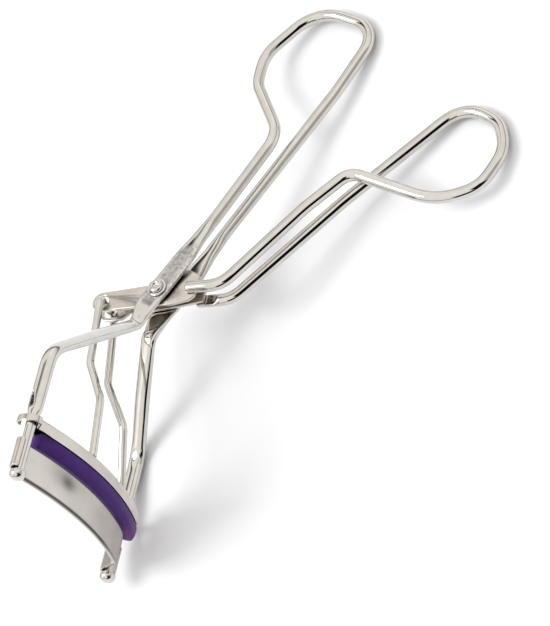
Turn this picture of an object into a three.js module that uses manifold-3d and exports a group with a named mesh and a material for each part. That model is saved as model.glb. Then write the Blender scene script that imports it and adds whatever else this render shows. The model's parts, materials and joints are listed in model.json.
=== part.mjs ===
// Eyelash curler: bent-rod frame and lever on one rivet, sliding upper bow with a soft pad,
// fixed lower bow, and the wire that pushes the upper bow along the frame's two guide posts.
// Working frame: X across the posts towards the handles' crotch side, +Y from the jaws to the
// finger rings, Z along the rivet; the origin is the rivet's centre. Millimetres.
import * as THREE from 'three';
import { mergeVertices } from 'three/addons/utils/BufferGeometryUtils.js';
import Module from 'manifold-3d';

const wasm = await Module();
wasm.setup();

// ---- driving dimensions -------------------------------------------------------------------
const ROD_R = 1.1;            // frame and lever rod
const POST_R = 0.92;          // rod drawn down to make the guide posts
const ARM_HALF_W = 1.52;      // arms and upper posts are hammered oval
const ARM_HALF_T = 0.98;
const SHANK_HALF_W = 1.46;
const CHEEK_HALF_W = 2.0;     // flat around the rivet
const CHEEK_HALF_T = 0.45;
const CHEEK_Z = 2.68;         // cheek centre plane
const LEG_Z = 2.46;           // leg centre planes, frame and lever
const POST_NEAR_X = -7.8;     // the posts stand a little askew to the rivet
const POST_FAR_X = -8.3;
const POST_Z = 19;
const POST_END_Y = -46.1;
const POST_TOP_Y = -21.8;
const BUTTON_Y = -45.15;
const SHEET = 0.4;            // strip of both bows
const PLATE_PLAN = { mid: -3.9, skew: -0.085, bend: 0.0102 };      // x = mid + skew z - bend z^2
const CHANNEL_PLAN = { mid: -3.95, skew: -0.092, bend: 0.0106 };
const PLATE_NEAR_Z = 17.2;
const PLATE_FAR_Z = -15;
const BARREL_R = 1.38;        // centre line of the lower jaw's rolled ends
const PLATE_TOP_Y = -39.3;
const PLATE_BOTTOM_Y = -45.6;
const BARREL_BOTTOM_Y = -44.7;
const ROOF_Y = -33.95;        // upper face of the pad channel
const CHANNEL_H = 2.25;
const CHANNEL_HALF_W = 1.35;
const CHANNEL_NEAR_Z = 16.8;
const CHANNEL_FAR_Z = -17.3;
const EAR_TOP_Y = -34.85;
const EAR_BOTTOM_Y = -36.1;
const PAD_NEAR_Z = 15.9;
const PAD_FAR_Z = -19;          // front of the slanted far end
const PAD_FAR_BACK_Z = -17.4;
const PAD_ROOT_NEAR_Z = 14.7;
const PAD_ROOT_FAR_Z = -17;
const PAD_BOTTOM_Y = -39;
const PAD_ROOT_HALF_W = 0.86;
const PAD_HALF_W = 1.3;
const WIRE_R = 0.75;
const FOOT_NEAR_Z = 2.9;      // the wire's feet stand towards the far post
const FOOT_FAR_Z = 9.3;
const FLANGE_OUT_Z = 2.05;    // bracket flanges
const FLANGE_IN_Z = 1.45;
const RIVET_R = 0.9;
const RIVET_HOLE_R = 1.02;
const BAR_X = -10.8;          // push wire's cross-bar
const BAR_Y = -2;
const BAR_HOLE_R = 1.28;
const CLEAR = 0.08;
const REST_UP = [-0.1315, -0.1733, 0.9761]; // table normal when it lies on one arm and both rings
const LENGTH_DIR = [0.42, 0.9, 0];          // jaws to rings

const STEEL = { color: 0xd9d6d0, roughness: 0.16, metalness: 1 };
const SATIN = { color: 0xc9c7c2, roughness: 0.32, metalness: 1 };
const SILICONE = { color: 0x5a2a86, roughness: 0.5, metalness: 0 };

// ---- helpers ------------------------------------------------------------------------------
const vec = (p) => new THREE.Vector3(p[0], p[1], p[2]);

/** Points along a rod bent at each corner: [x, y, z, bend radius, half width, half thickness]. */
function bentPath(corners, stepDeg = 18) {
  const out = [];
  corners.forEach((c, i) => {
    const p = vec(c);
    const size = { a: c[4], b: c[5] };
    if (c[3] === 0) {
      out.push({ p, ...size });
      return;
    }
    const u = vec(corners[i - 1]).sub(p).normalize();
    const v = vec(corners[i + 1]).sub(p).normalize();
    const half = u.angleTo(v) / 2;
    const reach = c[3] / Math.tan(half);
    const centre = u.clone().add(v).normalize().multiplyScalar(c[3] / Math.sin(half)).add(p);
    const start = p.clone().addScaledVector(u, reach).sub(centre);
    const axis = start.clone().cross(p.clone().addScaledVector(v, reach).sub(centre)).normalize();
    const turn = Math.PI - 2 * half;
    const steps = Math.max(2, Math.ceil(THREE.MathUtils.radToDeg(turn) / stepDeg));
    for (let k = 0; k <= steps; k += 1) {
      const q = start.clone().applyAxisAngle(axis, (turn * k) / steps).add(centre);
      out.push({ p: q, ...size });
    }
  });
  return out;
}

/** Closed solid swept along a path; the section's thin direction stays nearest to Z. */
function sweep(path, sides = 10) {
  const pos = [];
  const idx = [];
  const n = path.length;
  path.forEach((s, i) => {
    const back = path[Math.max(i - 1, 0)].p;
    const next = path[Math.min(i + 1, n - 1)].p;
    const t = next.clone().sub(back).normalize();
    const across = new THREE.Vector3(0, 0, 1).cross(t).normalize();
    const up = t.clone().cross(across);
    for (let k = 0; k < sides; k += 1) {
      const w = ((k + 0.5) / sides) * 2 * Math.PI;
      const q = s.p.clone().addScaledVector(across, s.a * Math.cos(w)).addScaledVector(up, s.b * Math.sin(w));
      pos.push(q.x, q.y, q.z);
    }
  });
  pos.push(...path[0].p.toArray(), ...path[n - 1].p.toArray());
  for (let k = 0; k < sides; k += 1) {
    const m = (k + 1) % sides;
    for (let i = 0; i < n - 1; i += 1) {
      const a = i * sides;
      const b = a + sides;
      idx.push(a + k, a + m, b + k, a + m, b + m, b + k);
    }
    idx.push(n * sides, m, k);
    idx.push(n * sides + 1, (n - 1) * sides + k, (n - 1) * sides + m);
  }
  const g = new THREE.BufferGeometry();
  g.setAttribute('position', new THREE.Float32BufferAttribute(pos, 3));
  g.setIndex(idx);
  return g;
}

function toManifold(geometry) {
  const g = geometry.clone();
  g.deleteAttribute('normal');
  g.deleteAttribute('uv');
  const m = mergeVertices(g, 1e-5);
  return new wasm.Manifold(new wasm.Mesh({
    numProp: 3,
    vertProperties: new Float32Array(m.attributes.position.array),
    triVerts: new Uint32Array(m.index.array),
  }));
}

function fromManifold(solid) {
  const m = solid.getMesh();
  const g = new THREE.BufferGeometry();
  g.setAttribute('position', new THREE.Float32BufferAttribute(m.vertProperties, 3));
  g.setIndex(Array.from(m.triVerts));
  return g;
}

/** Plan outline in (x, z) extruded in Y between two heights. */
function planExtrude(outline, yTop, yBottom) {
  const shape = new THREE.Shape(outline.map(([x, z]) => new THREE.Vector2(x, -z)));
  const g = new THREE.ExtrudeGeometry(shape, { depth: yTop - yBottom, bevelEnabled: false });
  g.rotateX(-Math.PI / 2);
  g.translate(0, yBottom, 0);
  return g;
}

/** Side outline in (x, y) extruded along Z. */
function sideExtrude(outline, zFrom, zTo) {
  const shape = new THREE.Shape(outline.map(([x, y]) => new THREE.Vector2(x, y)));
  const g = new THREE.ExtrudeGeometry(shape, { depth: zTo - zFrom, bevelEnabled: false });
  g.translate(0, 0, zFrom);
  return g;
}

/** Cylinder along Z. */
function pin(r, x, y, zFrom, zTo, sides = 20) {
  const g = new THREE.CylinderGeometry(r, r, zTo - zFrom, sides);
  g.rotateX(Math.PI / 2);
  g.translate(x, y, (zFrom + zTo) / 2);
  return g;
}

/** Sheet strip outline of thickness t around an open centre line. */
function strip(line, t) {
  const left = [];
  const right = [];
  line.forEach((p, i) => {
    const a = line[Math.max(i - 1, 0)];
    const b = line[Math.min(i + 1, line.length - 1)];
    const len = Math.hypot(b[0] - a[0], b[1] - a[1]);
    const nx = (-(b[1] - a[1]) / len) * (t / 2);
    const nz = ((b[0] - a[0]) / len) * (t / 2);
    left.push([p[0] + nx, p[1] + nz]);
    right.push([p[0] - nx, p[1] - nz]);
  });
  return left.concat(right.reverse());
}

/** Point of a bow's plan line, moved sideways by an offset towards the convex side. */
function bowPoint(z, { mid, skew, bend }, offset = 0) {
  const slope = skew - 2 * bend * z;
  const len = Math.hypot(1, slope);
  return [mid + skew * z - bend * z * z + offset / len, z - (offset * slope) / len];
}

/** Points of a bow's plan line from one z to another. */
function bowLine(zFrom, zTo, plan, offset = 0, count = 18) {
  const pts = [];
  for (let i = 0; i <= count; i += 1) {
    pts.push(bowPoint(zFrom + ((zTo - zFrom) * i) / count, plan, offset));
  }
  return pts;
}

/** Outline of a band of even width along the channel's plan line; its far end may be slanted. */
function bowBand(zFrom, zTo, halfW, backFrom = zFrom) {
  const front = bowLine(zFrom, zTo, CHANNEL_PLAN, halfW);
  return front.concat(bowLine(backFrom, zTo, CHANNEL_PLAN, -halfW).reverse());
}

const postX = (side) => (side > 0 ? POST_NEAR_X : POST_FAR_X);

/** Oval round a post; 0 degrees is the convex face side and 90 the outer side. */
function eyeLine(side, fromDeg, toDeg, [shiftX, shiftZ, radiusX, radiusZ], count = 14) {
  const pts = [];
  for (let i = 0; i <= count; i += 1) {
    const w = THREE.MathUtils.degToRad(fromDeg + ((toDeg - fromDeg) * i) / count);
    const z = side * (POST_Z + shiftZ + radiusZ * Math.sin(w));
    pts.push([postX(side) + shiftX + radiusX * Math.cos(w), z]);
  }
  return pts;
}

const BARREL = [-0.12, 0.08, BARREL_R, BARREL_R];
const EYE_NEAR = [-0.4, 0.08, 2.2, 1.32];   // moving eyes are long enough to clear the oval shank
const EYE_FAR = [0, 0.2, 2.4, 1.9];

/** Centre line of the lower jaw: each end passes behind its post and rolls round to the front. */
function plateLine() {
  const far = eyeLine(-1, 245, 62, BARREL).reverse();
  const turn = [[-7.6, -17.1], [-6.4, -16.4], [-5.6, -15.7]];
  return far.concat(turn, bowLine(PLATE_FAR_Z, PLATE_NEAR_Z, PLATE_PLAN), eyeLine(1, 245, 62, BARREL));
}

const mirrored = (corners) => corners.map((c) => [c[0], c[1], -c[2], ...c.slice(3)]).reverse();

// ---- frame --------------------------------------------------------------------------------
const frameSide = (x) => [
  [x, POST_END_Y, POST_Z, 0, POST_R, POST_R],
  [x, -34.9, POST_Z, 0, POST_R, POST_R],
  [x, -33.4, POST_Z, 0, SHANK_HALF_W, POST_R],
  [x, POST_TOP_Y, POST_Z, 5.5, SHANK_HALF_W, POST_R],
  [-5.5, -14.3, 10.6, 0, ARM_HALF_W, ARM_HALF_T],
  [-2.6, -7.1, 2.68, 2.2, 1.5, 0.75],
  [-1.6, -3, CHEEK_Z, 0, CHEEK_HALF_W, CHEEK_HALF_T],
  [0.1, 0, CHEEK_Z, 0, CHEEK_HALF_W + 0.05, CHEEK_HALF_T],
  [3.1, 5.6, CHEEK_Z, 0, CHEEK_HALF_W, CHEEK_HALF_T],
  [5.7, 11, 2.6, 0, 1.35, 0.8],
  [7.5, 14.6, LEG_Z, 0, ROD_R, ROD_R],
];

const FRAME_RING = [
  [15.6, 32.6, 2, 6, ROD_R, ROD_R],
  [7.9, 44.8, 0.3, 6, ROD_R, ROD_R],
  [7.95, 51.4, 0.1, 7, ROD_R, ROD_R],
  [16.5, 61.1, 0, 8, ROD_R, ROD_R],
  [29.65, 55.9, 0, 4.8, ROD_R, ROD_R],
  [23.6, 42.8, -0.7, 25, ROD_R, ROD_R],
];

function frameRod() {
  const rod = sweep(bentPath([...frameSide(POST_NEAR_X), ...FRAME_RING, ...mirrored(frameSide(POST_FAR_X))]));
  return fromManifold(toManifold(rod).subtract(toManifold(pin(RIVET_HOLE_R, 0, 0, -6, 6))));
}

/** Domed button pressed over a post's end. */
function footButton() {
  const bore = POST_R + CLEAR;
  const profile = [[0, -1.6], [0.8, -1.5], [1.25, -1.15], [1.45, -0.7], [1.45, -0.1], [1.32, 0], [bore, 0],
    [bore, -1.05], [0, -1.05]];
  const g = new THREE.LatheGeometry(profile.map(([r, y]) => new THREE.Vector2(r, y)), 20);
  return g;
}

/** Lower jaw: one strip rolled round both posts, deeper between them. */
function fixedBow() {
  const rolled = planExtrude(fixWinding(strip(plateLine(), SHEET)), PLATE_TOP_Y, BARREL_BOTTOM_Y);
  const plate = strip(bowLine(PLATE_FAR_Z, PLATE_NEAR_Z, PLATE_PLAN), SHEET);
  return fromManifold(toManifold(rolled)
    .add(toManifold(planExtrude(fixWinding(plate), PLATE_TOP_Y, PLATE_BOTTOM_Y))));
}

// ---- upper bow, pad and push wire -----------------------------------------------------------
/** Narrow strip that runs on from the channel's front wall and hooks round one post. */
function ear(side, zRoot, fromDeg, eye) {
  const wall = CHANNEL_HALF_W - SHEET / 2;
  const line = [zRoot - side, zRoot].map((z) => bowPoint(z, CHANNEL_PLAN, wall));
  const outline = fixWinding(strip([...line, ...eyeLine(side, fromDeg, 200, eye)], SHEET));
  return planExtrude(outline, EAR_TOP_Y, EAR_BOTTOM_Y);
}

function movingBow() {
  const outline = bowBand(CHANNEL_FAR_Z, CHANNEL_NEAR_Z, CHANNEL_HALF_W);
  const inside = bowBand(CHANNEL_FAR_Z - 1, CHANNEL_NEAR_Z + 1, CHANNEL_HALF_W - SHEET);
  const room = planExtrude(fixWinding(inside), ROOF_Y - SHEET, ROOF_Y - CHANNEL_H - 1);
  return fromManifold(toManifold(planExtrude(fixWinding(outline), ROOF_Y, ROOF_Y - CHANNEL_H))
    .subtract(toManifold(room))
    .add(toManifold(ear(1, CHANNEL_NEAR_Z, -35, EYE_NEAR)))
    .add(toManifold(ear(-1, CHANNEL_FAR_Z, 20, EYE_FAR))));
}

/** Outline turned counter-clockwise as seen by the extruder. */
function fixWinding(outline) {
  const pts = outline.map(([x, z]) => new THREE.Vector2(x, -z));
  return THREE.ShapeUtils.isClockWise(pts) ? outline.slice().reverse() : outline;
}

function lashPad() {
  const shoulder = ROOF_Y - CHANNEL_H - CLEAR;
  const layer = (zFrom, zTo, halfW, top, bottom, backFrom = zFrom) => (
    toManifold(planExtrude(fixWinding(bowBand(zFrom, zTo, halfW, backFrom)), top, bottom)));
  const rootTop = ROOF_Y - SHEET - CLEAR;
  const root = layer(PAD_ROOT_FAR_Z, PAD_ROOT_NEAR_Z, PAD_ROOT_HALF_W, rootTop, shoulder - 0.5);
  return fromManifold(root
    .add(layer(PAD_FAR_Z, PAD_NEAR_Z, PAD_HALF_W, shoulder, PAD_BOTTOM_Y + 0.9, PAD_FAR_BACK_Z))
    .add(layer(PAD_FAR_Z + 0.3, PAD_NEAR_Z - 0.3, PAD_HALF_W - 0.4, shoulder, PAD_BOTTOM_Y, PAD_FAR_BACK_Z)));
}

/** One leg of the push wire; its foot stands on the channel at z = footZ. */
const wireLeg = (footZ) => [
  [-4.2, ROOF_Y + 0.3, footZ, 0, WIRE_R, WIRE_R],
  [-4.4, -23.4, 4.9, 3, WIRE_R, WIRE_R],
  [-9, -15.6, 3.8, 3, WIRE_R, WIRE_R],
  [BAR_X, BAR_Y, 3.1, 0.9, WIRE_R, WIRE_R],
];

const pushWire = () => sweep(bentPath([...wireLeg(FOOT_NEAR_Z), ...mirrored(wireLeg(FOOT_FAR_Z))]), 8);

// ---- lever ----------------------------------------------------------------------------------
const LEVER = [
  [5.4, 0.4, LEG_Z, 0, ROD_R, ROD_R],
  [12, 0.9, LEG_Z, 5, ROD_R, ROD_R],
  [24.5, 16.3, LEG_Z, 0, ROD_R, ROD_R],
  [31.4, 23.9, 1.9, 3.4, ROD_R, ROD_R],
  [48.2, 18.4, 0, 12, ROD_R, ROD_R],
  [55.9, 21.5, 0, 6, ROD_R, ROD_R],
  [59, 28.8, 0, 7, ROD_R, ROD_R],
  [56.9, 34.5, 0, 5, ROD_R, ROD_R],
  [49.7, 38.7, 0, 6.5, ROD_R, ROD_R],
  [29.5, 20.4, -2, 15, ROD_R, ROD_R],
  [12, 0.9, -LEG_Z, 5, ROD_R, ROD_R],
  [5.4, 0.4, -LEG_Z, 0, ROD_R, ROD_R],
];

function leverRod() {
  const seat = FLANGE_OUT_Z + CLEAR;
  const flat = [[4, -3], [8.3, -3], [8.3, 4], [4, 4]];
  const rod = toManifold(sweep(bentPath(LEVER)));
  return fromManifold(rod.subtract(toManifold(sideExtrude(flat, -seat, seat))));
}

const BRACKET_TOP = [[7, 3.2], [4.6, 4.4], [1.6, 2.4], [-2.2, 1.3], [BAR_X, 0]];
const BRACKET_BOTTOM = [[BAR_X, -3.9], [-4.2, -3.2], [3, -2.7], [6, -1.9], [7, -1]];
const FAR_FLANGE_CUT = [[-8.4, -3.9], [-7, -2.4], [-0.4, -1.6], [5.6, -0.4], [9, 0.4], [9, -6], [-8.4, -6]];

function pivotBracket() {
  const nose = [];
  for (let i = 0; i <= 8; i += 1) {
    const w = Math.PI / 2 + (Math.PI * i) / 8;
    nose.push([BAR_X - 0.15 + 1.95 * Math.cos(w), BAR_Y + 1.95 * Math.sin(w)]);
  }
  const outline = [...BRACKET_TOP.slice(0, -1), ...nose, ...BRACKET_BOTTOM.slice(1)];
  const body = toManifold(sideExtrude(outline, -FLANGE_OUT_Z, FLANGE_OUT_Z));
  const web = 0.6;
  const ceiling = [...BRACKET_TOP.slice(0, -1), [-7, 0.75]].map(([x, y]) => [x, y - web]);
  const room = [[9, 3.2 - web], ...ceiling, [-7, 3], [-15, 3], [-15, -6], [9, -6]];
  return fromManifold(body
    .subtract(toManifold(sideExtrude(room, -FLANGE_IN_Z, FLANGE_IN_Z)))
    .subtract(toManifold(sideExtrude(FAR_FLANGE_CUT, -4, -1)))
    .subtract(toManifold(pin(RIVET_HOLE_R, 0, 0, -4, 4)))
    .subtract(toManifold(pin(BAR_HOLE_R, BAR_X - 0.15, BAR_Y, -4, 4))));
}

// ---- rivet ----------------------------------------------------------------------------------
const WASHER_IN_Z = CHEEK_Z + CHEEK_HALF_T + CLEAR;
const WASHER_T = 0.35;
const HEAD_Z = WASHER_IN_Z + WASHER_T + CLEAR;

function pivotRivet() {
  const h = HEAD_Z;
  const half = [[0, h + 0.25], [0.45, h + 0.25], [0.6, h + 0.6], [1.05, h + 0.5], [1.3, h + 0.15], [1.3, h],
    [RIVET_R, h]];
  const profile = half.concat(half.slice().reverse().map(([r, z]) => [r, -z]));
  const g = new THREE.LatheGeometry(profile.reverse().map(([r, y]) => new THREE.Vector2(r, y)), 20);
  g.rotateX(Math.PI / 2);
  return g;
}

function rivetWasher(side) {
  const from = Math.min(side * WASHER_IN_Z, side * (WASHER_IN_Z + WASHER_T));
  const disc = toManifold(pin(1.75, 0, 0, from, from + WASHER_T, 24));
  return fromManifold(disc.subtract(toManifold(pin(RIVET_HOLE_R, 0, 0, -6, 6))));
}

// ---- assembly -------------------------------------------------------------------------------
const design = new THREE.Group();
design.name = 'working_frame';

function place(name, geometry, look, at = [0, 0, 0]) {
  const mesh = new THREE.Mesh(geometry, new THREE.MeshStandardMaterial(look));
  mesh.name = name;
  mesh.position.set(...at);
  design.add(mesh);
}

place('frame_rod', frameRod(), STEEL);
place('foot_button_near', footButton(), STEEL, [POST_NEAR_X, BUTTON_Y, POST_Z]);
place('foot_button_far', footButton(), STEEL, [POST_FAR_X, BUTTON_Y, -POST_Z]);
place('fixed_bow', fixedBow(), SATIN);
place('moving_bow', movingBow(), SATIN);
place('lash_pad', lashPad(), SILICONE);
place('push_wire', pushWire(), STEEL);
place('lever_rod', leverRod(), STEEL);
place('pivot_bracket', pivotBracket(), SATIN);
place('pivot_rivet', pivotRivet(), STEEL);
place('rivet_washer_near', rivetWasher(1), STEEL);
place('rivet_washer_far', rivetWasher(-1), STEEL);

// ---- resting frame: +Z up, X along the length, origin under the middle ---------------------
const up = vec(REST_UP).normalize();
const along = vec(LENGTH_DIR).addScaledVector(up, -vec(LENGTH_DIR).dot(up)).normalize();
const toRest = new THREE.Matrix4().makeBasis(along, up.clone().cross(along), up).transpose();
design.quaternion.setFromRotationMatrix(toRest);
design.updateMatrixWorld(true);
const box = new THREE.Box3().setFromObject(design, true);
const middle = box.getCenter(new THREE.Vector3());
design.position.set(-middle.x, -middle.y, -box.min.z);

const curler = new THREE.Group();
curler.name = 'eyelash_curler';
curler.add(design);

export default curler;
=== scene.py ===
"""Looks of an eyelash curler: polished nickel rod, satin sheet jaws and a violet silicone strip.

Pieces are drawn in the curler's own working frame, in millimetres: X across the posts, +Y from the
jaws to the finger rings, Z along the rivet. `WORK` turns that into the row frame, in metres.
"""
import json
import math

import bmesh
import bpy
from mathutils import Matrix, Vector


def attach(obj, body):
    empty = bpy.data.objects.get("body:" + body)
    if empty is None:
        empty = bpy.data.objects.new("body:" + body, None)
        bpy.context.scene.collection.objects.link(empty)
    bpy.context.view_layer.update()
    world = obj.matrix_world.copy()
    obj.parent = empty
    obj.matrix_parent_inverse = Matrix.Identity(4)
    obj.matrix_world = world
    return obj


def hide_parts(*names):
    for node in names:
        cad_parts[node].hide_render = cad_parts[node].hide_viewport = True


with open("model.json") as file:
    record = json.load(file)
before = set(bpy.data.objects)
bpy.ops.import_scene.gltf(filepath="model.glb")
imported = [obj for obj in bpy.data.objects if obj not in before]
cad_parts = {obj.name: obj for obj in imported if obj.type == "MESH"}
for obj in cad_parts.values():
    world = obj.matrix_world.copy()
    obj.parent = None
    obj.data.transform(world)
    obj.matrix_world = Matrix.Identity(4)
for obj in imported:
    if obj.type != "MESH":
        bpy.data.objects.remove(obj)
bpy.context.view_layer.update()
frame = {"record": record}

# ---- dimensions, mm ------------------------------------------------------------------------
ROD = 1.1
POST = 0.92
SHANK = 1.46
ARM = 1.52
ARM_T = 0.98
WIRE = 0.75
SHEET = 0.4
SHEET_EDGE = 0.12
PLAY = 0.08
POST_X = {1: -7.8, -1: -8.3}
POST_Z = 19.0
POST_TOP_Y = -21.8
POST_END_Y = -46.1
CHEEK_Z = 2.68
CHEEK_T = 0.45
LEG_Z = 2.46
PLATE_PLAN = (-3.9, -0.085, 0.0102)
CHANNEL_PLAN = (-3.95, -0.092, 0.0106)
PLATE_NEAR = 17.2
PLATE_FAR = -15.0
PLATE_TOP_Y = -39.3
PLATE_BOTTOM_Y = -45.6
BARREL_BOTTOM_Y = -44.7
ROOF_Y = -33.95
CHANNEL_H = 2.25
CHANNEL_W = 1.35
CHANNEL_NEAR = 16.8
CHANNEL_FAR = -17.3
EAR_TOP_Y = -34.85
EAR_BOTTOM_Y = -36.1
PAD_NEAR = 15.9
PAD_FAR = -19.0
PAD_ROOT_NEAR = 14.7
PAD_ROOT_FAR = -17.0
PAD_BOTTOM_Y = -39.0
BAR_X = -10.8
BAR_Y = -2.0
BAR_HOLE = 1.28
FLANGE_OUT = 2.05
FLANGE_IN = 1.45
BUTTON_Y = -45.15


def working_frame():
    """Matrix from the working frame in mm to the row frame in m, read from the two joints."""
    joints = {j["name"]: j for j in frame["record"]["behaviour"]["joints"]}
    y = Vector(joints["upper_jaw_slide"]["axis"]).normalized()
    z = -Vector(joints["lever_pivot"]["axis"]).normalized()
    x = y.cross(z).normalized()
    turn = Matrix((x, y, z)).transposed().to_4x4()
    return Matrix.Translation(Vector(joints["lever_pivot"]["pos_m"])) @ turn @ Matrix.Scale(0.001, 4)


WORK = working_frame()


# ---- mesh helpers --------------------------------------------------------------------------
def finished(name, verts, faces):
    """A smooth-shaded object in the row frame from working-frame points."""
    mesh = bpy.data.meshes.new(name)
    mesh.from_pydata([WORK @ Vector(v) for v in verts], [], faces)
    mesh.polygons.foreach_set("use_smooth", [True] * len(mesh.polygons))
    mesh.validate()
    obj = bpy.data.objects.new(name, mesh)
    bpy.context.scene.collection.objects.link(obj)
    return obj


def mark_surface(obj, name, amount):
    """Stores amount(point in mm) on every vertex, for the materials to read."""
    back = WORK.inverted()
    layer = obj.data.attributes.new(name, "FLOAT", "POINT")
    layer.data.foreach_set("value", [amount(back @ v.co) for v in obj.data.vertices])


def ring_faces(rings, n, first=0, closed=False):
    """Quads between neighbouring rings of n points each; `closed` joins the last ring to the first."""
    faces = []
    for i in range(rings if closed else rings - 1):
        a, b = first + i * n, first + (i + 1) % rings * n
        faces += [(a + k, a + (k + 1) % n, b + (k + 1) % n, b + k) for k in range(n)]
    return faces


def outward(obj):
    """Makes all faces point outward."""
    bm = bmesh.new()
    bm.from_mesh(obj.data)
    bmesh.ops.recalc_face_normals(bm, faces=bm.faces)
    bm.to_mesh(obj.data)
    bm.free()


def clamped(t):
    return max(0, min(1, t))


def ease(t):
    return t * t * (3 - 2 * t)


def fillet(before, corner, after, step_deg):
    """Arc points of one bent corner."""
    p = Vector(corner[:3])
    u = (Vector(before[:3]) - p).normalized()
    v = (Vector(after[:3]) - p).normalized()
    half = u.angle(v) / 2
    reach = corner[3] / math.tan(half)
    centre = p + (u + v).normalized() * corner[3] / math.sin(half)
    start = p + u * reach - centre
    axis = start.cross(p + v * reach - centre).normalized()
    turn = math.pi - 2 * half
    steps = max(3, math.ceil(math.degrees(turn) / step_deg))
    return [Matrix.Rotation(turn * k / steps, 3, axis) @ start + centre for k in range(steps + 1)]


def rod_path(corners, pitch=0.7, step_deg=5, soften=3):
    """Stations (point, half width, half thickness, squareness) every `pitch` mm along a bent rod."""
    nodes = []
    for i, c in enumerate(corners):
        size = tuple(c[4:7])
        points = [Vector(c[:3])] if c[3] == 0 else fillet(corners[i - 1], c, corners[i + 1], step_deg)
        nodes += [(p, size) for p in points]
    out = [nodes[0]]
    for (a, sa), (b, sb) in zip(nodes, nodes[1:]):
        n = max(1, round((b - a).length / pitch))
        for k in range(1, n + 1):
            t = ease(k / n)
            out.append((a.lerp(b, k / n), tuple(x + (y - x) * t for x, y in zip(sa, sb))))
    for _ in range(soften):
        out = [out[0]] + [
            ((a[0] + b[0] * 2 + c[0]) / 4, tuple((x + y * 2 + z) / 4 for x, y, z in zip(a[1], b[1], c[1])))
            for a, b, c in zip(out, out[1:], out[2:])
        ] + [out[-1]]
    return out


def rounded_ends(path, depth):
    """Adds shrinking stations so that both cut ends have a soft edge."""
    def cap(end, inner):
        p, size = end
        t = (p - inner[0]).normalized()
        rings = []
        for k in (1, 2, 3, 4):
            w = k / 4 * math.pi / 2
            keep = 1 - depth * (1 - math.cos(w)) / min(size[:2])
            rings.append((p - t * depth * (1 - math.sin(w)), (size[0] * keep, size[1] * keep, size[2])))
        return rings

    head = cap(path[0], path[1])
    tail = cap(path[-1], path[-2])
    core = [s for s in path
            if (s[0] - path[0][0]).length > depth * 1.05 and (s[0] - path[-1][0]).length > depth * 1.05]
    return head[::-1] + core + tail


def section(w, a, b, power):
    """Point of a superellipse section at angle w."""
    c, s = math.cos(w), math.sin(w)
    k = 2 / power
    return a * math.copysign(abs(c) ** k, c), b * math.copysign(abs(s) ** k, s)


def directions(path, along_z):
    """Across and up at each station; with `along_z` up stays nearest the rivet's axis."""
    out = []
    up = None
    for i, s in enumerate(path):
        t = (path[min(i + 1, len(path) - 1)][0] - path[max(i - 1, 0)][0]).normalized()
        if along_z:
            across = Vector((0, 0, 1)).cross(t).normalized()
            up = t.cross(across)
        else:
            up = (up - t * up.dot(t)).normalized() if up else t.orthogonal().normalized()
            across = up.cross(t)
        out.append((across, up))
    return out


def sweep(name, path, sides, along_z=True, shape=None):
    """Closed rod along a path. `shape(q, p)` may move surface point q of the station at p."""
    frames = directions(path, along_z)
    verts = []
    for (p, (a, b, power)), (across, up) in zip(path, frames):
        for k in range(sides):
            x, y = section(2 * math.pi * k / sides, a, b, power)
            q = p + across * x + up * y
            verts.append(shape(q, p) if shape else q)
    faces = ring_faces(len(path), sides)
    for first, order in ((0, range(sides - 1, -1, -1)), ((len(path) - 1) * sides, range(sides))):
        faces.append(tuple(first + k for k in order))
    obj = finished(name, verts, faces)
    outward(obj)
    return obj


def soft_edges(obj, width, angle=35, segments=2):
    """Small rounded edges, with the flat faces kept flat."""
    mod = obj.modifiers.new("edge", "BEVEL")
    mod.width = width * 0.001
    mod.segments = segments
    mod.limit_method = "ANGLE"
    mod.angle_limit = math.radians(angle)
    mod.harden_normals = False


def lathe(name, profile, centre, axis, sides=48):
    """Turned piece: profile of (radius, height) from the axis back to the axis."""
    axis = Vector(axis)
    side = axis.orthogonal().normalized()
    other = axis.cross(side)
    verts = [Vector(centre) + axis * profile[0][1]]
    for r, h in profile[1:-1]:
        for k in range(sides):
            w = 2 * math.pi * k / sides
            verts.append(Vector(centre) + axis * h + (side * math.cos(w) + other * math.sin(w)) * r)
    verts.append(Vector(centre) + axis * profile[-1][1])
    rings = len(profile) - 2
    faces = [(0, 1 + k, 1 + (k + 1) % sides) for k in range(sides)]
    faces += ring_faces(rings, sides, first=1)
    last = 1 + (rings - 1) * sides
    faces += [(last + k, len(verts) - 1, last + (k + 1) % sides) for k in range(sides)]
    obj = finished(name, verts, faces)
    outward(obj)
    return obj


def joined(name, *objs):
    """One object made of several, modifiers applied."""
    bm = bmesh.new()
    graph = bpy.context.evaluated_depsgraph_get()
    for o in objs:
        made = o.evaluated_get(graph).to_mesh()
        bm.from_mesh(made)
        o.evaluated_get(graph).to_mesh_clear()
    mesh = bpy.data.meshes.new(name)
    bm.to_mesh(mesh)
    bm.free()
    for o in objs:
        bpy.data.objects.remove(o)
    mesh.polygons.foreach_set("use_smooth", [True] * len(mesh.polygons))
    obj = bpy.data.objects.new(name, mesh)
    bpy.context.scene.collection.objects.link(obj)
    return obj


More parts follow.
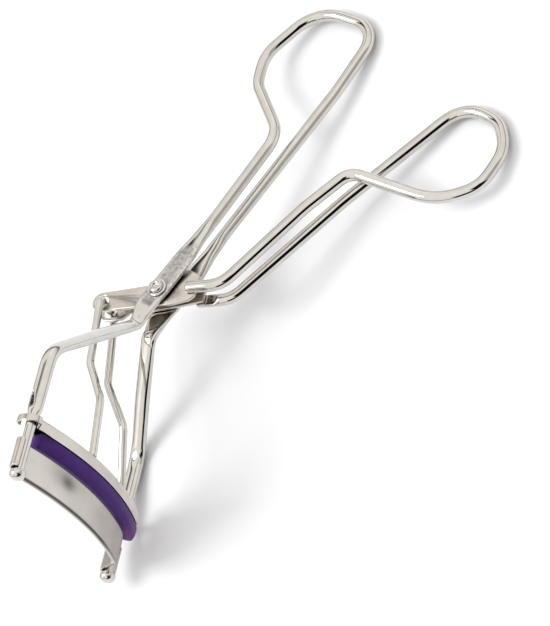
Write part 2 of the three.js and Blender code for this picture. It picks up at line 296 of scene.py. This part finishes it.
# ---- rods ----------------------------------------------------------------------------------
# a corner of a rod: x, y, z, bend radius, half width, half thickness, squareness of the section
def frame_side(x):
    return [
        (x, POST_END_Y, POST_Z, 0, POST, POST, 2),
        (x, -34.9, POST_Z, 0, POST, POST, 2),
        (x, -33.4, POST_Z, 0, SHANK, POST, 2.1),
        (x, POST_TOP_Y, POST_Z, 5.5, SHANK, POST, 2.2),
        (-5.5, -14.3, 10.6, 0, ARM, ARM_T, 2.2),
        (-2.6, -7.1, 2.68, 2.2, 1.5, 0.75, 2.6),
        (-1.6, -3, CHEEK_Z, 0, 2.0, CHEEK_T, 4),
        (0.1, 0, CHEEK_Z, 0, 2.05, CHEEK_T, 4),
        (3.1, 5.6, CHEEK_Z, 0, 2.0, CHEEK_T, 4),
        (5.7, 11, 2.6, 0, 1.35, 0.8, 2.4),
        (7.5, 14.6, LEG_Z, 0, ROD, ROD, 2),
    ]


FRAME_RING = [
    (15.6, 32.6, 2, 6, ROD, ROD, 2),
    (7.9, 44.8, 0.3, 6, ROD, ROD, 2),
    (7.95, 51.4, 0.1, 7, ROD, ROD, 2),
    (16.5, 61.1, 0, 8, ROD, ROD, 2),
    (29.65, 55.9, 0, 4.8, ROD, ROD, 2),
    (23.6, 42.8, -0.7, 25, ROD, ROD, 2),
]
LEVER = [
    (5.4, 0.4, LEG_Z, 0, ROD, ROD, 2),
    (12, 0.9, LEG_Z, 5, ROD, ROD, 2),
    (24.5, 16.3, LEG_Z, 0, ROD, ROD, 2),
    (31.4, 23.9, 1.9, 3.4, ROD, ROD, 2),
    (48.2, 18.4, 0, 12, ROD, ROD, 2),
    (55.9, 21.5, 0, 6, ROD, ROD, 2),
    (59, 28.8, 0, 7, ROD, ROD, 2),
    (56.9, 34.5, 0, 5, ROD, ROD, 2),
    (49.7, 38.7, 0, 6.5, ROD, ROD, 2),
    (29.5, 20.4, -2, 15, ROD, ROD, 2),
    (12, 0.9, -LEG_Z, 5, ROD, ROD, 2),
    (5.4, 0.4, -LEG_Z, 0, ROD, ROD, 2),
]


def wire_leg(foot_z):
    return [
        (-4.2, ROOF_Y + 0.3, foot_z, 0, WIRE, WIRE, 2),
        (-4.4, -23.4, 4.9, 3, WIRE, WIRE, 2),
        (-9, -15.6, 3.8, 3, WIRE, WIRE, 2),
        (BAR_X, BAR_Y, 3.1, 0.9, WIRE, WIRE, 2),
    ]


def mirrored(corners):
    return [(c[0], c[1], -c[2], *c[3:]) for c in reversed(corners)]


PINCH_TOP_Y = -29.8
PINCH_LENGTH = 3.5
PINCH_DEPTH = 0.4


def pinch(q):
    """Depth, 0 to 1, of the mark a forming tool left in the near shank above the upper jaw's ear."""
    t = (PINCH_TOP_Y - q.y) / PINCH_LENGTH
    if q.z < POST_Z or not 0 < t < 1:
        return 0.0
    middle = POST_X[1] - 0.95 + 0.45 * t
    across = abs(q.x - middle) / (0.2 + 0.75 * t)
    return ease(max(0.0, 1 - across ** 2)) * ease(min(1, t * 6)) * ease(min(1, (1 - t) * 3))


def frame_rod():
    def pressed(q, _):
        q.z -= PINCH_DEPTH * pinch(q)
        return q

    path = rod_path(frame_side(POST_X[1]) + FRAME_RING + mirrored(frame_side(POST_X[-1])), pitch=0.4)
    rod = sweep("frame_rod_formed", rounded_ends(path, 0.25), sides=56, shape=pressed)
    # The dimple's depth also sets where its dark reflection is painted.
    mark_surface(rod, "pinch", lambda q: pinch(q + Vector((0, 0, PINCH_DEPTH / 2))))
    mark_surface(rod, "hammered", hammered)
    return rod


def hammered(q):
    """1 where the near cheek was beaten flat, fading out along it."""
    if q.z < 2.0 or abs(q.x) > 9:
        return 0.0
    return ease(clamped((q.y + 3.5) / 2)) * ease(clamped((9.5 - q.y) / 2))


def lever_rod():
    seat = FLANGE_OUT + PLAY

    def weld_flat(q, p):
        if 3 < p.x < 9 and p.y < 4 and abs(q.z) < seat:
            q.z = math.copysign(seat, p.z)
        return q

    path = rod_path(LEVER)
    return sweep("lever_rod_formed", rounded_ends(path, 0.25), sides=40, shape=weld_flat)


def push_wire():
    path = rod_path(wire_leg(2.9) + mirrored(wire_leg(9.3)), pitch=0.4)
    return sweep("push_wire_formed", rounded_ends(path, 0.15), sides=28, along_z=False)


# ---- sheet jaws ----------------------------------------------------------------------------
# ovals rolled round the posts: outward shift in x and z, radius in x and z
BARREL = (-0.12, 0.08, 1.38, 1.38)
EYE = {1: (-0.4, 0.08, 2.2, 1.32), -1: (0.0, 0.2, 2.4, 1.9)}


def bow_point(z, plan, offset=0.0):
    """Point (x, z) of a jaw's plan line, moved towards its convex side."""
    mid, skew, bend = plan
    slope = skew - 2 * bend * z
    length = math.hypot(1, slope)
    return mid + skew * z - bend * z * z + offset / length, z - offset * slope / length


def spread(low, high, count):
    return [low + (high - low) * i / count for i in range(count + 1)]


def eye_line(side, start, end, oval, count=36):
    """Oval round a post; 0 degrees is the convex face side and 90 the outer side."""
    shift_x, shift_z, radius_x, radius_z = oval
    x, z = POST_X[side] + shift_x, POST_Z + shift_z
    turns = [math.radians(a) for a in spread(start, end, count)]
    return [(x + radius_x * math.cos(w), side * (z + radius_z * math.sin(w))) for w in turns]


def even(line, pitch):
    """The same plan line with points at an even spacing."""
    out = [line[0]]
    for a, b in zip(line, line[1:]):
        n = max(1, round(math.dist(a, b) / pitch))
        out += [(a[0] + (b[0] - a[0]) * k / n, a[1] + (b[1] - a[1]) * k / n) for k in range(1, n + 1)]
    return out


def softened(line, passes):
    for _ in range(passes):
        line = [line[0]] + [
            ((a[0] + 2 * b[0] + c[0]) / 4, (a[1] + 2 * b[1] + c[1]) / 4)
            for a, b, c in zip(line, line[1:], line[2:])
        ] + [line[-1]]
    return line


def strip(name, line, top, bottom):
    """Sheet strip on edge along a plan line; top and bottom give its two heights at each point."""
    half = SHEET / 2
    r = SHEET_EDGE
    arc = [i * math.pi / 8 for i in range(5)]
    rows = spread(0, 1, 24)[1:-1]
    verts = []
    for i, p in enumerate(line):
        a, b = line[max(i - 1, 0)], line[min(i + 1, len(line) - 1)]
        d = Vector((b[0] - a[0], b[1] - a[1])).normalized()
        high, low = top(i), bottom(i)
        ring = [(half - r + r * math.cos(w), high - r + r * math.sin(w)) for w in arc]
        ring += [(-half + r - r * math.sin(w), high - r + r * math.cos(w)) for w in arc]
        ring += [(-half, high - r + (low - high + 2 * r) * k) for k in rows]
        ring += [(-half + r - r * math.cos(w), low + r - r * math.sin(w)) for w in arc]
        ring += [(half - r + r * math.sin(w), low + r - r * math.cos(w)) for w in arc]
        ring += [(half, low + r - (low - high + 2 * r) * k) for k in rows]
        verts += [(p[0] + d.y * o, y, p[1] - d.x * o) for o, y in ring]
    n = len(ring)
    faces = ring_faces(len(line), n)
    faces += [tuple(range(n)), tuple((len(line) - 1) * n + k for k in range(n))]
    obj = finished(name, verts, faces)
    outward(obj)
    return obj


# plan points where the plate turns in from the far post
FAR_TURN = [(-7.6, -17.1), (-6.4, -16.4), (-5.6, -15.7)]


def fixed_bow():
    near, far = (eye_line(side, 245, 62, BARREL) for side in (1, -1))
    plate = [bow_point(z, PLATE_PLAN) for z in spread(PLATE_FAR, PLATE_NEAR, 90)]
    line = softened(even(far[::-1] + FAR_TURN + plate + near, 0.25), 4)

    def bottom(i):
        z = line[i][1]
        reach = min((z - PLATE_FAR) / 0.8, (PLATE_NEAR - z) / 0.6)
        return BARREL_BOTTOM_Y + (PLATE_BOTTOM_Y - BARREL_BOTTOM_Y) * ease(clamped(reach))

    jaw = strip("fixed_bow_formed", line, lambda i: PLATE_TOP_Y, bottom)
    # The plate carries painted shade and a painted dark reflection for its material to read.
    mark_surface(jaw, "painted_darkening", plate_painted_shade_and_reflection)
    return jaw


# Painted shade: the dark line along the plate's lower edge, its height and half height, then the length of
# the darker far end.
FOLD_SHADE_Y = PLATE_BOTTOM_Y + 0.4
FOLD_SHADE_HALF = 0.42
SHADED_END = 1.6
# painted dark reflection on the plate, its core and its halo: centre and reach along z, the same along y,
# strength
DARK_REFLECTION = [(7.2, 1.9, -41.2, 1.3, 0.5), (8.6, 5.0, -40.2, 2.6, 0.36)]


def plate_painted_shade_and_reflection(q):
    """Painted shade and reflection: a dark line of painted shade along the folded lower edge, painted shade
    at the far end and a painted dark reflection under the strip.
    """
    if not PLATE_FAR < q.z < PLATE_NEAR + 0.5:
        return 0.0
    fold_shade = clamped(1.8 * (1 - abs(q.y - FOLD_SHADE_Y) / FOLD_SHADE_HALF)) * min(1, (q.z + 16) / 10)
    dark_reflection = sum(k * math.exp(-((q.z - z) / dz) ** 2 - ((q.y - y) / dy) ** 2) for z, dz, y, dy, k in DARK_REFLECTION)
    end = ease(clamped((PLATE_FAR + SHADED_END - q.z) / SHADED_END)) * 0.5
    return min(1, max(fold_shade, dark_reflection, end))


def front_height(z):
    """The trough's front wall is cut back to the ears' height at both ends."""
    near = clamped((z - CHANNEL_NEAR + 3.6) / 2.4)
    far = clamped((CHANNEL_FAR + 1.2 - z) / 1.2)
    ear_depth = ROOF_Y - EAR_BOTTOM_Y
    return CHANNEL_H - (CHANNEL_H - ear_depth) * ease(max(near, far))


def trough_profile(front):
    """Section of the inverted trough: (offset towards the convex side, height)."""
    w, h, t, r = CHANNEL_W, CHANNEL_H, SHEET, 0.55
    arc = [i * math.pi / 16 for i in range(9)]
    outer = [(w + 0.1, -front), (w + 0.02, -front + 0.35), (w, -front + 0.7)]
    outer += [(w - r + r * math.cos(a), -r + r * math.sin(a)) for a in arc]
    outer += [(-w + r - r * math.sin(a), -r + r * math.cos(a)) for a in arc]
    outer += [(-w, -h)]
    k = r - t + 0.05
    inner = [(-w + t, -h)]
    inner += [(-w + t + k - k * math.cos(a), -t - k + k * math.sin(a)) for a in arc]
    inner += [(w - t - k + k * math.sin(a), -t - k + k * math.cos(a)) for a in arc]
    inner += [(w - t, -front + 0.7), (w - t + 0.02, -front + 0.35), (w - t + 0.1, -front)]
    return outer + inner


def along_bow(name, low, high, profile, count=110):
    """Section carried along the upper jaw's plan line; profile(z) gives it at each place."""
    verts = []
    for z in spread(low, high, count):
        ring = profile(z)
        for offset, height in ring:
            x, zz = bow_point(z, CHANNEL_PLAN, offset)
            verts.append((x, ROOF_Y + height, zz))
    n = len(ring)
    faces = ring_faces(count + 1, n)
    faces += [tuple(range(n)), tuple(count * n + j for j in range(n))]
    obj = finished(name, verts, faces)
    outward(obj)
    return obj


def ear(side, root):
    """Narrow strip that runs on from the trough's front wall and hooks round a post."""
    wall = CHANNEL_W - SHEET / 2
    start = [bow_point(root - side * k, CHANNEL_PLAN, wall) for k in (1.6, 1.2, 0.8, 0.4, 0)]
    begin = -25 if side > 0 else 20
    line = softened(even(start + eye_line(side, begin, 205, EYE[side]), 0.2), 5)

    def top(i):
        return EAR_TOP_Y + (ROOF_Y - 0.25 - EAR_TOP_Y) * (1 - ease(min(1, i * 0.2 / 3.2)))

    return strip("ear", line, top, lambda i: EAR_BOTTOM_Y)


def moving_bow():
    trough = along_bow("trough", CHANNEL_FAR, CHANNEL_NEAR, lambda z: trough_profile(front_height(z)))
    soft_edges(trough, 0.09)
    return joined("moving_bow_formed", trough, ear(1, CHANNEL_NEAR), ear(-1, CHANNEL_FAR))


def pad_profile(z):
    """Section of the soft strip, closing in at both ends; only the middle has a root in the trough."""
    end = min(abs(z - PAD_NEAR) / 0.25, abs(z - PAD_FAR) / 1.7, 1)
    k = 0.2 + 0.8 * math.sqrt(1 - (1 - end) ** 2)
    shoulder, low = -CHANNEL_H - 0.08, PAD_BOTTOM_Y - ROOF_Y
    root = 0.86 if PAD_ROOT_FAR <= z <= PAD_ROOT_NEAR else 0.05
    crown = -0.48 if root > 0.1 else shoulder - 0.02
    half = [(root, crown), (root, shoulder + 0.05)]
    half += [(1.16, shoulder - 0.02), (1.3, shoulder - 0.14), (1.36, shoulder - 0.4)]
    turns = [i * math.pi / 22 for i in range(2, 12)]
    half += [(0.62 + 0.76 * math.cos(a), low + 1.5 - 1.5 * math.sin(a)) for a in turns]
    mid = (shoulder + low) / 2
    shaped = [(x * k, mid + (y - mid) * (0.5 + 0.5 * k) if y < shoulder else y) for x, y in half]
    return shaped + [(-x, y) for x, y in reversed(shaped)]


def lash_pad():
    pad = along_bow("lash_strip", PAD_FAR, PAD_NEAR, pad_profile, 220)
    soft_edges(pad, 0.05)
    # Painted light: the strip turns lighter magenta towards its far end.
    mark_surface(pad, "painted_tip_light", lambda q: ease(clamped((-11 - q.z) / 8)))
    # Painted shade: near black on the strip's top where the trough's near end hides it.
    mark_surface(pad, "painted_darkening", lambda q: clamped((q.z - 13) / 1.5) * clamped((q.y + 36.9) / 0.4))
    return pad


# ---- bracket, rivet and buttons --------------------------------------------------------------
BRACKET_TOP = [(7, 3.2), (4.6, 4.4), (1.6, 2.4), (-2.2, 1.3)]
BRACKET_BOTTOM = [(-4.2, -3.2), (3, -2.7), (6, -1.9), (7, -1)]
BRACKET_WEB = 0.6
FAR_FLANGE_CUT = [(-8.4, -3.9), (-7, -2.4), (-0.4, -1.6), (5.6, -0.4), (9, 0.4), (9, -6), (-8.4, -6)]
NOSE_X = BAR_X - 0.15
NOSE_R = 1.95
RIVET_HOLE = 1.02


def side_solid(name, outline, z_low, z_high):
    n = len(outline)
    verts = [(x, y, z_low) for x, y in outline] + [(x, y, z_high) for x, y in outline]
    faces = [tuple(range(n)), tuple(range(2 * n - 1, n - 1, -1))]
    faces += [(i, (i + 1) % n, n + (i + 1) % n, n + i) for i in range(n)]
    obj = finished(name, verts, faces)
    outward(obj)
    return obj


def cut(obj, tool):
    mod = obj.modifiers.new("cut", "BOOLEAN")
    mod.object = tool
    mod.operation = "DIFFERENCE"
    mod.solver = "EXACT"
    made = bpy.data.meshes.new_from_object(obj.evaluated_get(bpy.context.evaluated_depsgraph_get()))
    obj.modifiers.clear()
    obj.data = made
    bpy.data.objects.remove(tool)


def disc(x, y, r, z, sides=40):
    turns = [2 * math.pi * k / sides for k in range(sides)]
    return side_solid("tool", [(x + r * math.cos(w), y + r * math.sin(w)) for w in turns], -z, z)


def pivot_bracket():
    """Channel with its web on top and none over the nose, where the wire passes through."""
    turns = [math.pi / 2 + math.pi * i / 16 for i in range(17)]
    nose = [(NOSE_X + NOSE_R * math.cos(w), BAR_Y + NOSE_R * math.sin(w)) for w in turns]
    body = side_solid("pivot_bracket_formed", BRACKET_TOP + nose + BRACKET_BOTTOM, -FLANGE_OUT, FLANGE_OUT)
    ceiling = [(9, 3.2)] + BRACKET_TOP + [(-7, 0.75)]
    room = [(x, y - BRACKET_WEB) for x, y in ceiling] + [(-7, 3), (-15, 3), (-15, -6), (9, -6)]
    cut(body, side_solid("tool", room, -FLANGE_IN, FLANGE_IN))
    cut(body, side_solid("tool", FAR_FLANGE_CUT, -4, -1))
    cut(body, disc(0, 0, RIVET_HOLE, 4))
    cut(body, disc(NOSE_X, BAR_Y, BAR_HOLE, 4))
    soft_edges(body, 0.14)
    return body


def side_name(piece, side):
    return f"{piece}_{'near' if side > 0 else 'far'}_formed"


def foot_button(side):
    profile = [(0, -1.6), (0.45, -1.57), (0.8, -1.48), (1.1, -1.3), (1.3, -1.05), (1.42, -0.78), (1.45, -0.5),
               (1.45, -0.25), (1.4, -0.08), (1.28, 0), (1.0, 0), (1.0, -1.05), (0, -1.05)]
    return lathe(side_name("foot_button", side), profile, (POST_X[side], BUTTON_Y, side * POST_Z), (0, 1, 0))


WASHER_Z = CHEEK_Z + CHEEK_T + PLAY
WASHER_T = 0.35


def pivot_rivet():
    h = WASHER_Z + WASHER_T + PLAY
    head = [(0, h + 0.2), (0.3, h + 0.21), (0.46, h + 0.27), (0.56, h + 0.48), (0.66, h + 0.57)]
    head += [(0.82, h + 0.6), (1.02, h + 0.55), (1.18, h + 0.42), (1.28, h + 0.22), (1.3, h + 0.02), (0.9, h)]
    profile = head + [(r, -z) for r, z in reversed(head)]
    return lathe("pivot_rivet_formed", profile, (0, 0, 0), (0, 0, 1))


def rivet_washer(side):
    z, top = WASHER_Z, WASHER_Z + WASHER_T
    profile = [(1.02, z), (1.66, z), (1.75, z + 0.09), (1.75, z + 0.24)]
    profile += [(1.64, top), (1.1, top), (1.02, z + 0.28)]
    sides = 48
    turns = [2 * math.pi * k / sides for k in range(sides)]
    verts = [(r * math.cos(w), r * math.sin(w), side * h) for r, h in profile for w in turns]
    obj = finished(side_name("rivet_washer", side), verts, ring_faces(len(profile), sides, closed=True))
    outward(obj)
    return obj


# ---- materials, whose own measures are in metres ---------------------------------------------
BUMP = 0.00003
# Reach, in metres, of the shade painted into crevices.
CREVICE_SHADE_REACH = 0.003


def material(name):
    """New node material: its shader, its tree and object coordinates in mm."""
    mat = bpy.data.materials.new(name)
    mat.use_nodes = True
    tree = mat.node_tree
    shader = next(n for n in tree.nodes if n.type == "BSDF_PRINCIPLED")
    place = tree.nodes.new("ShaderNodeTexCoord")
    scale = tree.nodes.new("ShaderNodeVectorMath")
    scale.operation = "SCALE"
    scale.inputs["Scale"].default_value = 1000
    tree.links.new(place.outputs["Object"], scale.inputs[0])
    return mat, shader, tree, scale.outputs[0]


def node_math(tree, operation, a, b=None):
    n = tree.nodes.new("ShaderNodeMath")
    n.operation = operation
    for socket, value in zip(n.inputs, (a, b)):
        if isinstance(value, (int, float)):
            socket.default_value = value
        elif value is not None:
            tree.links.new(value, socket)
    return n.outputs[0]


def marked(tree, name):
    """How much a surface carries the named mark; 0 on pieces that have none."""
    n = tree.nodes.new("ShaderNodeAttribute")
    n.attribute_name = name
    return n.outputs["Fac"]


def blended(tree, colour, amount, other):
    """Colour mixed towards another one by an amount."""
    n = tree.nodes.new("ShaderNodeMix")
    n.data_type = "RGBA"
    tree.links.new(amount, n.inputs["Factor"])
    tree.links.new(colour, n.inputs[6])
    n.inputs[7].default_value = (*other, 1)
    return n.outputs[2]


def noise_node(tree, vector, scale, detail=3.0, rough=0.5):
    n = tree.nodes.new("ShaderNodeTexNoise")
    n.inputs["Scale"].default_value = scale
    n.inputs["Detail"].default_value = detail
    n.inputs["Roughness"].default_value = rough
    tree.links.new(vector, n.inputs["Vector"])
    return n.outputs["Fac"]


def mapped(tree, value, low, high, from_low=0.3, from_high=0.7):
    n = tree.nodes.new("ShaderNodeMapRange")
    for key, v in (("From Min", from_low), ("From Max", from_high), ("To Min", low), ("To Max", high)):
        n.inputs[key].default_value = v
    tree.links.new(value, n.inputs["Value"])
    return n.outputs["Result"]


def painted_crevice_shade(tree, colour):
    """Painted shade: the base colour darkens to near black where sheet and rod crowd together, read from
    ambient occlusion.
    """
    n = tree.nodes.new("ShaderNodeAmbientOcclusion")
    n.inputs["Distance"].default_value = CREVICE_SHADE_REACH
    n.samples = 8
    mix = tree.nodes.new("ShaderNodeMix")
    mix.data_type = "RGBA"
    tree.links.new(mapped(tree, n.outputs["AO"], 0, 1, 0.12, 0.42), mix.inputs["Factor"])
    mix.inputs[6].default_value = (0.02, 0.018, 0.017, 1)
    tree.links.new(colour, mix.inputs[7])
    return mix.outputs[2]


def tinted(tree, value, dark, light):
    n = tree.nodes.new("ShaderNodeValToRGB")
    n.color_ramp.elements[0].color = (*dark, 1)
    n.color_ramp.elements[1].color = (*light, 1)
    n.color_ramp.elements[0].position = 0.3
    n.color_ramp.elements[1].position = 0.7
    tree.links.new(value, n.inputs["Fac"])
    return n.outputs["Color"]


def bumped(tree, shader, value, strength):
    """Fine relief, at most BUMP metres deep."""
    n = tree.nodes.new("ShaderNodeBump")
    n.inputs["Strength"].default_value = strength
    n.inputs["Distance"].default_value = BUMP
    tree.links.new(value, n.inputs["Height"])
    tree.links.new(n.outputs["Normal"], shader.inputs["Normal"])


def polished_nickel():
    mat, shader, tree, where = material("polished_nickel_plate")
    shader.inputs["Metallic"].default_value = 1.0
    cloud = noise_node(tree, where, 0.35)
    fine = noise_node(tree, where, 5.0, 4.0, 0.6)
    colour = tinted(tree, cloud, (0.60, 0.578, 0.545), (0.66, 0.643, 0.615))
    blows = noise_node(tree, where, 1.6, 3.0, 0.6)
    # Painted dark reflection: near black in the pressed dimple of the near shank, broken up by noise.
    pinch_speckle = mapped(tree, noise_node(tree, where, 2.6, 2.0), 0.35, 1)
    pinch_dark_reflection = node_math(tree, "MULTIPLY", marked(tree, "pinch"), pinch_speckle)
    beaten = marked(tree, "hammered")
    colour = blended(tree, colour, mapped(tree, pinch_dark_reflection, 0, 1, 0.15, 0.5), (0.03, 0.03, 0.03))
    grey = node_math(tree, "MULTIPLY", beaten, mapped(tree, blows, 0, 0.55, 0.45, 0.65))
    colour = blended(tree, colour, grey, (0.20, 0.185, 0.195))
    tree.links.new(painted_crevice_shade(tree, colour), shader.inputs["Base Color"])
    rough = node_math(tree, "ADD", mapped(tree, fine, 0.03, 0.07), node_math(tree, "MULTIPLY", beaten, 0.22))
    tree.links.new(rough, shader.inputs["Roughness"])
    dents = node_math(tree, "MULTIPLY", beaten, node_math(tree, "MULTIPLY", blows, 4))
    relief = node_math(tree, "ADD", noise_node(tree, where, 0.4, 1.0), dents)
    bumped(tree, shader, relief, 0.1)
    return mat


def satin_nickel():
    mat, shader, tree, where = material("satin_nickel_sheet")
    shader.inputs["Metallic"].default_value = 1.0
    cloud = noise_node(tree, where, 0.3)
    fine = noise_node(tree, where, 9.0, 5.0, 0.65)
    colour = tinted(tree, cloud, (0.555, 0.518, 0.478), (0.63, 0.598, 0.558))
    # Painted shade and a painted dark reflection, carried on the fixed plate.
    colour = blended(tree, colour, marked(tree, "painted_darkening"), (0.05, 0.045, 0.04))
    tree.links.new(painted_crevice_shade(tree, colour), shader.inputs["Base Color"])
    tree.links.new(mapped(tree, fine, 0.17, 0.26), shader.inputs["Roughness"])
    bumped(tree, shader, fine, 0.12)
    return mat


def violet_silicone():
    mat, shader, tree, where = material("violet_silicone")
    cloud = noise_node(tree, where, 0.5)
    fine = noise_node(tree, where, 12.0, 4.0, 0.6)
    colour = tinted(tree, cloud, (0.045, 0.008, 0.130), (0.058, 0.011, 0.165))
    # Painted light: lighter magenta at the strip's far end.
    colour = blended(tree, colour, marked(tree, "painted_tip_light"), (0.175, 0.050, 0.235))
    # Painted shade in the trough's near end.
    colour = blended(tree, colour, marked(tree, "painted_darkening"), (0.004, 0.003, 0.005))
    tree.links.new(colour, shader.inputs["Base Color"])
    tree.links.new(mapped(tree, fine, 0.38, 0.5), shader.inputs["Roughness"])
    shader.inputs["Subsurface Weight"].default_value = 0.2
    shader.inputs["Subsurface Radius"].default_value = (0.0008, 0.0003, 0.001)
    shader.inputs["Specular IOR Level"].default_value = 0.16
    bumped(tree, shader, fine, 0.15)
    return mat


def floor_material():
    mat, shader, tree, where = material("pale_floor")
    cloud = noise_node(tree, where, 0.004)
    tree.links.new(tinted(tree, cloud, (0.90, 0.915, 0.95), (0.92, 0.935, 0.97)), shader.inputs["Base Color"])
    shader.inputs["Roughness"].default_value = 0.6
    return mat


# ---- pieces on their bodies --------------------------------------------------------------------
def fit_piece(obj, node, mat, body):
    obj.data.materials.clear()
    obj.data.materials.append(mat)
    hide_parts(node)
    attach(obj, body)


def dress():
    shiny, satin, soft = polished_nickel(), satin_nickel(), violet_silicone()
    fit_piece(frame_rod(), "frame_rod", shiny, "frame")
    fit_piece(foot_button(1), "foot_button_near", shiny, "frame")
    fit_piece(foot_button(-1), "foot_button_far", shiny, "frame")
    fit_piece(fixed_bow(), "fixed_bow", satin, "frame")
    fit_piece(moving_bow(), "moving_bow", satin, "upper_jaw")
    pad = lash_pad()
    fit_piece(pad, "lash_pad", soft, "upper_jaw")
    fit_piece(push_wire(), "push_wire", shiny, "upper_jaw")
    fit_piece(lever_rod(), "lever_rod", shiny, "lever")
    fit_piece(pivot_bracket(), "pivot_bracket", satin, "lever")
    fit_piece(pivot_rivet(), "pivot_rivet", shiny, "frame")
    fit_piece(rivet_washer(1), "rivet_washer_near", shiny, "frame")
    fit_piece(rivet_washer(-1), "rivet_washer_far", shiny, "frame")


# ---- floor, light and camera -------------------------------------------------------------------
FLOOR_HALF = 2.0
FLOOR_GAP = 0.0001


def floor():
    bm = bmesh.new()
    bmesh.ops.create_grid(bm, x_segments=8, y_segments=8, size=FLOOR_HALF)
    mesh = bpy.data.meshes.new("floor")
    bm.to_mesh(mesh)
    bm.free()
    obj = bpy.data.objects.new("floor", mesh)
    bpy.context.scene.collection.objects.link(obj)
    obj.location.z = -FLOOR_GAP
    mesh.materials.append(floor_material())


SKY_LOW = -10
SKY_HIGH = 90
# height in degrees and colour
CEILING = [
    (-5, (0.10, 0.09, 0.085)),
    (3, (0.28, 0.265, 0.25)),
    (12, (0.88, 0.85, 0.815)),
    (22, (1.07, 1.04, 1.0)),
    (45, (1.13, 1.105, 1.065)),
    (90, (1.16, 1.14, 1.105)),
]
# bearings, heights and soft edge, all in degrees, and colour
SURROUNDINGS = [
    ((-84, -52), (-10, 46), 3, (0.56, 0.52, 0.48)),
    ((-122, -84), (-10, 56), 2.5, (0.008, 0.007, 0.008)),
    ((-150, -122), (-10, 28), 3, (0.008, 0.007, 0.008)),
    ((141, 158), (8, 36), 4, (1.5, 1.47, 1.42)),
    ((24, 44), (8, 36), 5, (1.25, 1.22, 1.18)),
    ((126, 148), (40, 56), 4, (0.62, 0.60, 0.575)),
    ((46, 68), (43, 52), 3, (0.45, 0.43, 0.41)),
    ((60, 110), (44, 51), 1.5, (0.03, 0.03, 0.03)),
    ((92, 142), (58, 71), 2, (0.02, 0.02, 0.02)),
    ((62, 80), (-10, 12), 3, (0.10, 0.09, 0.09)),
]


def sky_ramp(tree, height, stops):
    """Colour by height, from a list of (degrees, colour)."""
    n = tree.nodes.new("ShaderNodeMapRange")
    n.inputs["From Min"].default_value = math.radians(SKY_LOW)
    n.inputs["From Max"].default_value = math.radians(SKY_HIGH)
    tree.links.new(height, n.inputs["Value"])
    ramp = tree.nodes.new("ShaderNodeValToRGB")
    tree.links.new(n.outputs["Result"], ramp.inputs["Fac"])
    elements = ramp.color_ramp.elements
    places = [((deg - SKY_LOW) / (SKY_HIGH - SKY_LOW), colour) for deg, colour in stops]
    elements[0].position, elements[0].color = places[0][0], (*places[0][1], 1)
    elements[1].position, elements[1].color = places[-1][0], (*places[-1][1], 1)
    for position, colour in places[1:-1]:
        elements.new(position).color = (*colour, 1)
    return ramp.outputs["Color"]


def edge_step(tree, value, at, soft, rising):
    """Soft step of an angle, in radians, at a place given in degrees."""
    n = tree.nodes.new("ShaderNodeMapRange")
    n.interpolation_type = "SMOOTHSTEP"
    low, high = math.radians(at - soft), math.radians(at + soft)
    n.inputs["From Min"].default_value, n.inputs["From Max"].default_value = low, high
    n.inputs["To Min"].default_value, n.inputs["To Max"].default_value = (0, 1) if rising else (1, 0)
    tree.links.new(value, n.inputs["Value"])
    return n.outputs["Result"]


def patch(tree, turn, height, bearing, heights, soft):
    """1 inside a window of bearings and heights, 0 outside."""
    sides = [(turn, bearing[0], True), (turn, bearing[1], False)]
    sides += [(height, heights[0], True), (height, heights[1], False)]
    out = 1
    for value, at, rising in sides:
        out = node_math(tree, "MULTIPLY", edge_step(tree, value, at, soft, rising), out)
    return out


def room():
    """Studio surroundings by direction: a warm ceiling and the darker and brighter things around."""
    world = bpy.data.worlds.new("studio")
    bpy.context.scene.world = world
    world.use_nodes = True
    tree = world.node_tree
    tree.nodes.clear()
    where = tree.nodes.new("ShaderNodeTexCoord")
    split = tree.nodes.new("ShaderNodeSeparateXYZ")
    tree.links.new(where.outputs["Generated"], split.inputs[0])
    height = node_math(tree, "ARCSINE", split.outputs["Z"])
    turn = node_math(tree, "ARCTAN2", split.outputs["Y"], split.outputs["X"])
    colour = sky_ramp(tree, height, CEILING)
    for bearing, heights, soft, tint in SURROUNDINGS:
        mix = tree.nodes.new("ShaderNodeMix")
        mix.data_type = "RGBA"
        tree.links.new(patch(tree, turn, height, bearing, heights, soft), mix.inputs["Factor"])
        tree.links.new(colour, mix.inputs[6])
        mix.inputs[7].default_value = (*tint, 1)
        colour = mix.outputs[2]
    back = tree.nodes.new("ShaderNodeBackground")
    out = tree.nodes.new("ShaderNodeOutputWorld")
    tree.links.new(colour, back.inputs["Color"])
    tree.links.new(back.outputs["Background"], out.inputs["Surface"])


KEY_AT = (-0.42, 0.42, 0.95)
KEY_SIZE = 0.5
KEY_POWER = 5.4


def key_light():
    """Square soft light that looks at the curler."""
    data = bpy.data.lights.new("key", "AREA")
    data.shape = "RECTANGLE"
    data.size, data.size_y = KEY_SIZE, KEY_SIZE
    data.energy = KEY_POWER
    obj = bpy.data.objects.new("key", data)
    obj.location = KEY_AT
    obj.rotation_mode = "QUATERNION"
    obj.rotation_quaternion = (-Vector(KEY_AT)).to_track_quat("-Z", "Y")
    bpy.context.scene.collection.objects.link(obj)


CAMERA_AT = (271.05, -278.47, 457.72)
CAMERA_TURN = (23.885, 30.988, -56.658)
LENS = 195.5


def camera():
    data = bpy.data.cameras.new("camera")
    data.lens = LENS
    data.sensor_width = 36
    data.clip_start, data.clip_end = 0.01, 10
    obj = bpy.data.objects.new("camera", data)
    obj.location = WORK @ Vector(CAMERA_AT)
    obj.rotation_euler = [math.radians(a) for a in CAMERA_TURN]
    bpy.context.scene.collection.objects.link(obj)
    bpy.context.scene.camera = obj


dress()
floor()
room()
key_light()
camera()
bpy.context.scene.view_settings.view_transform = "Standard"
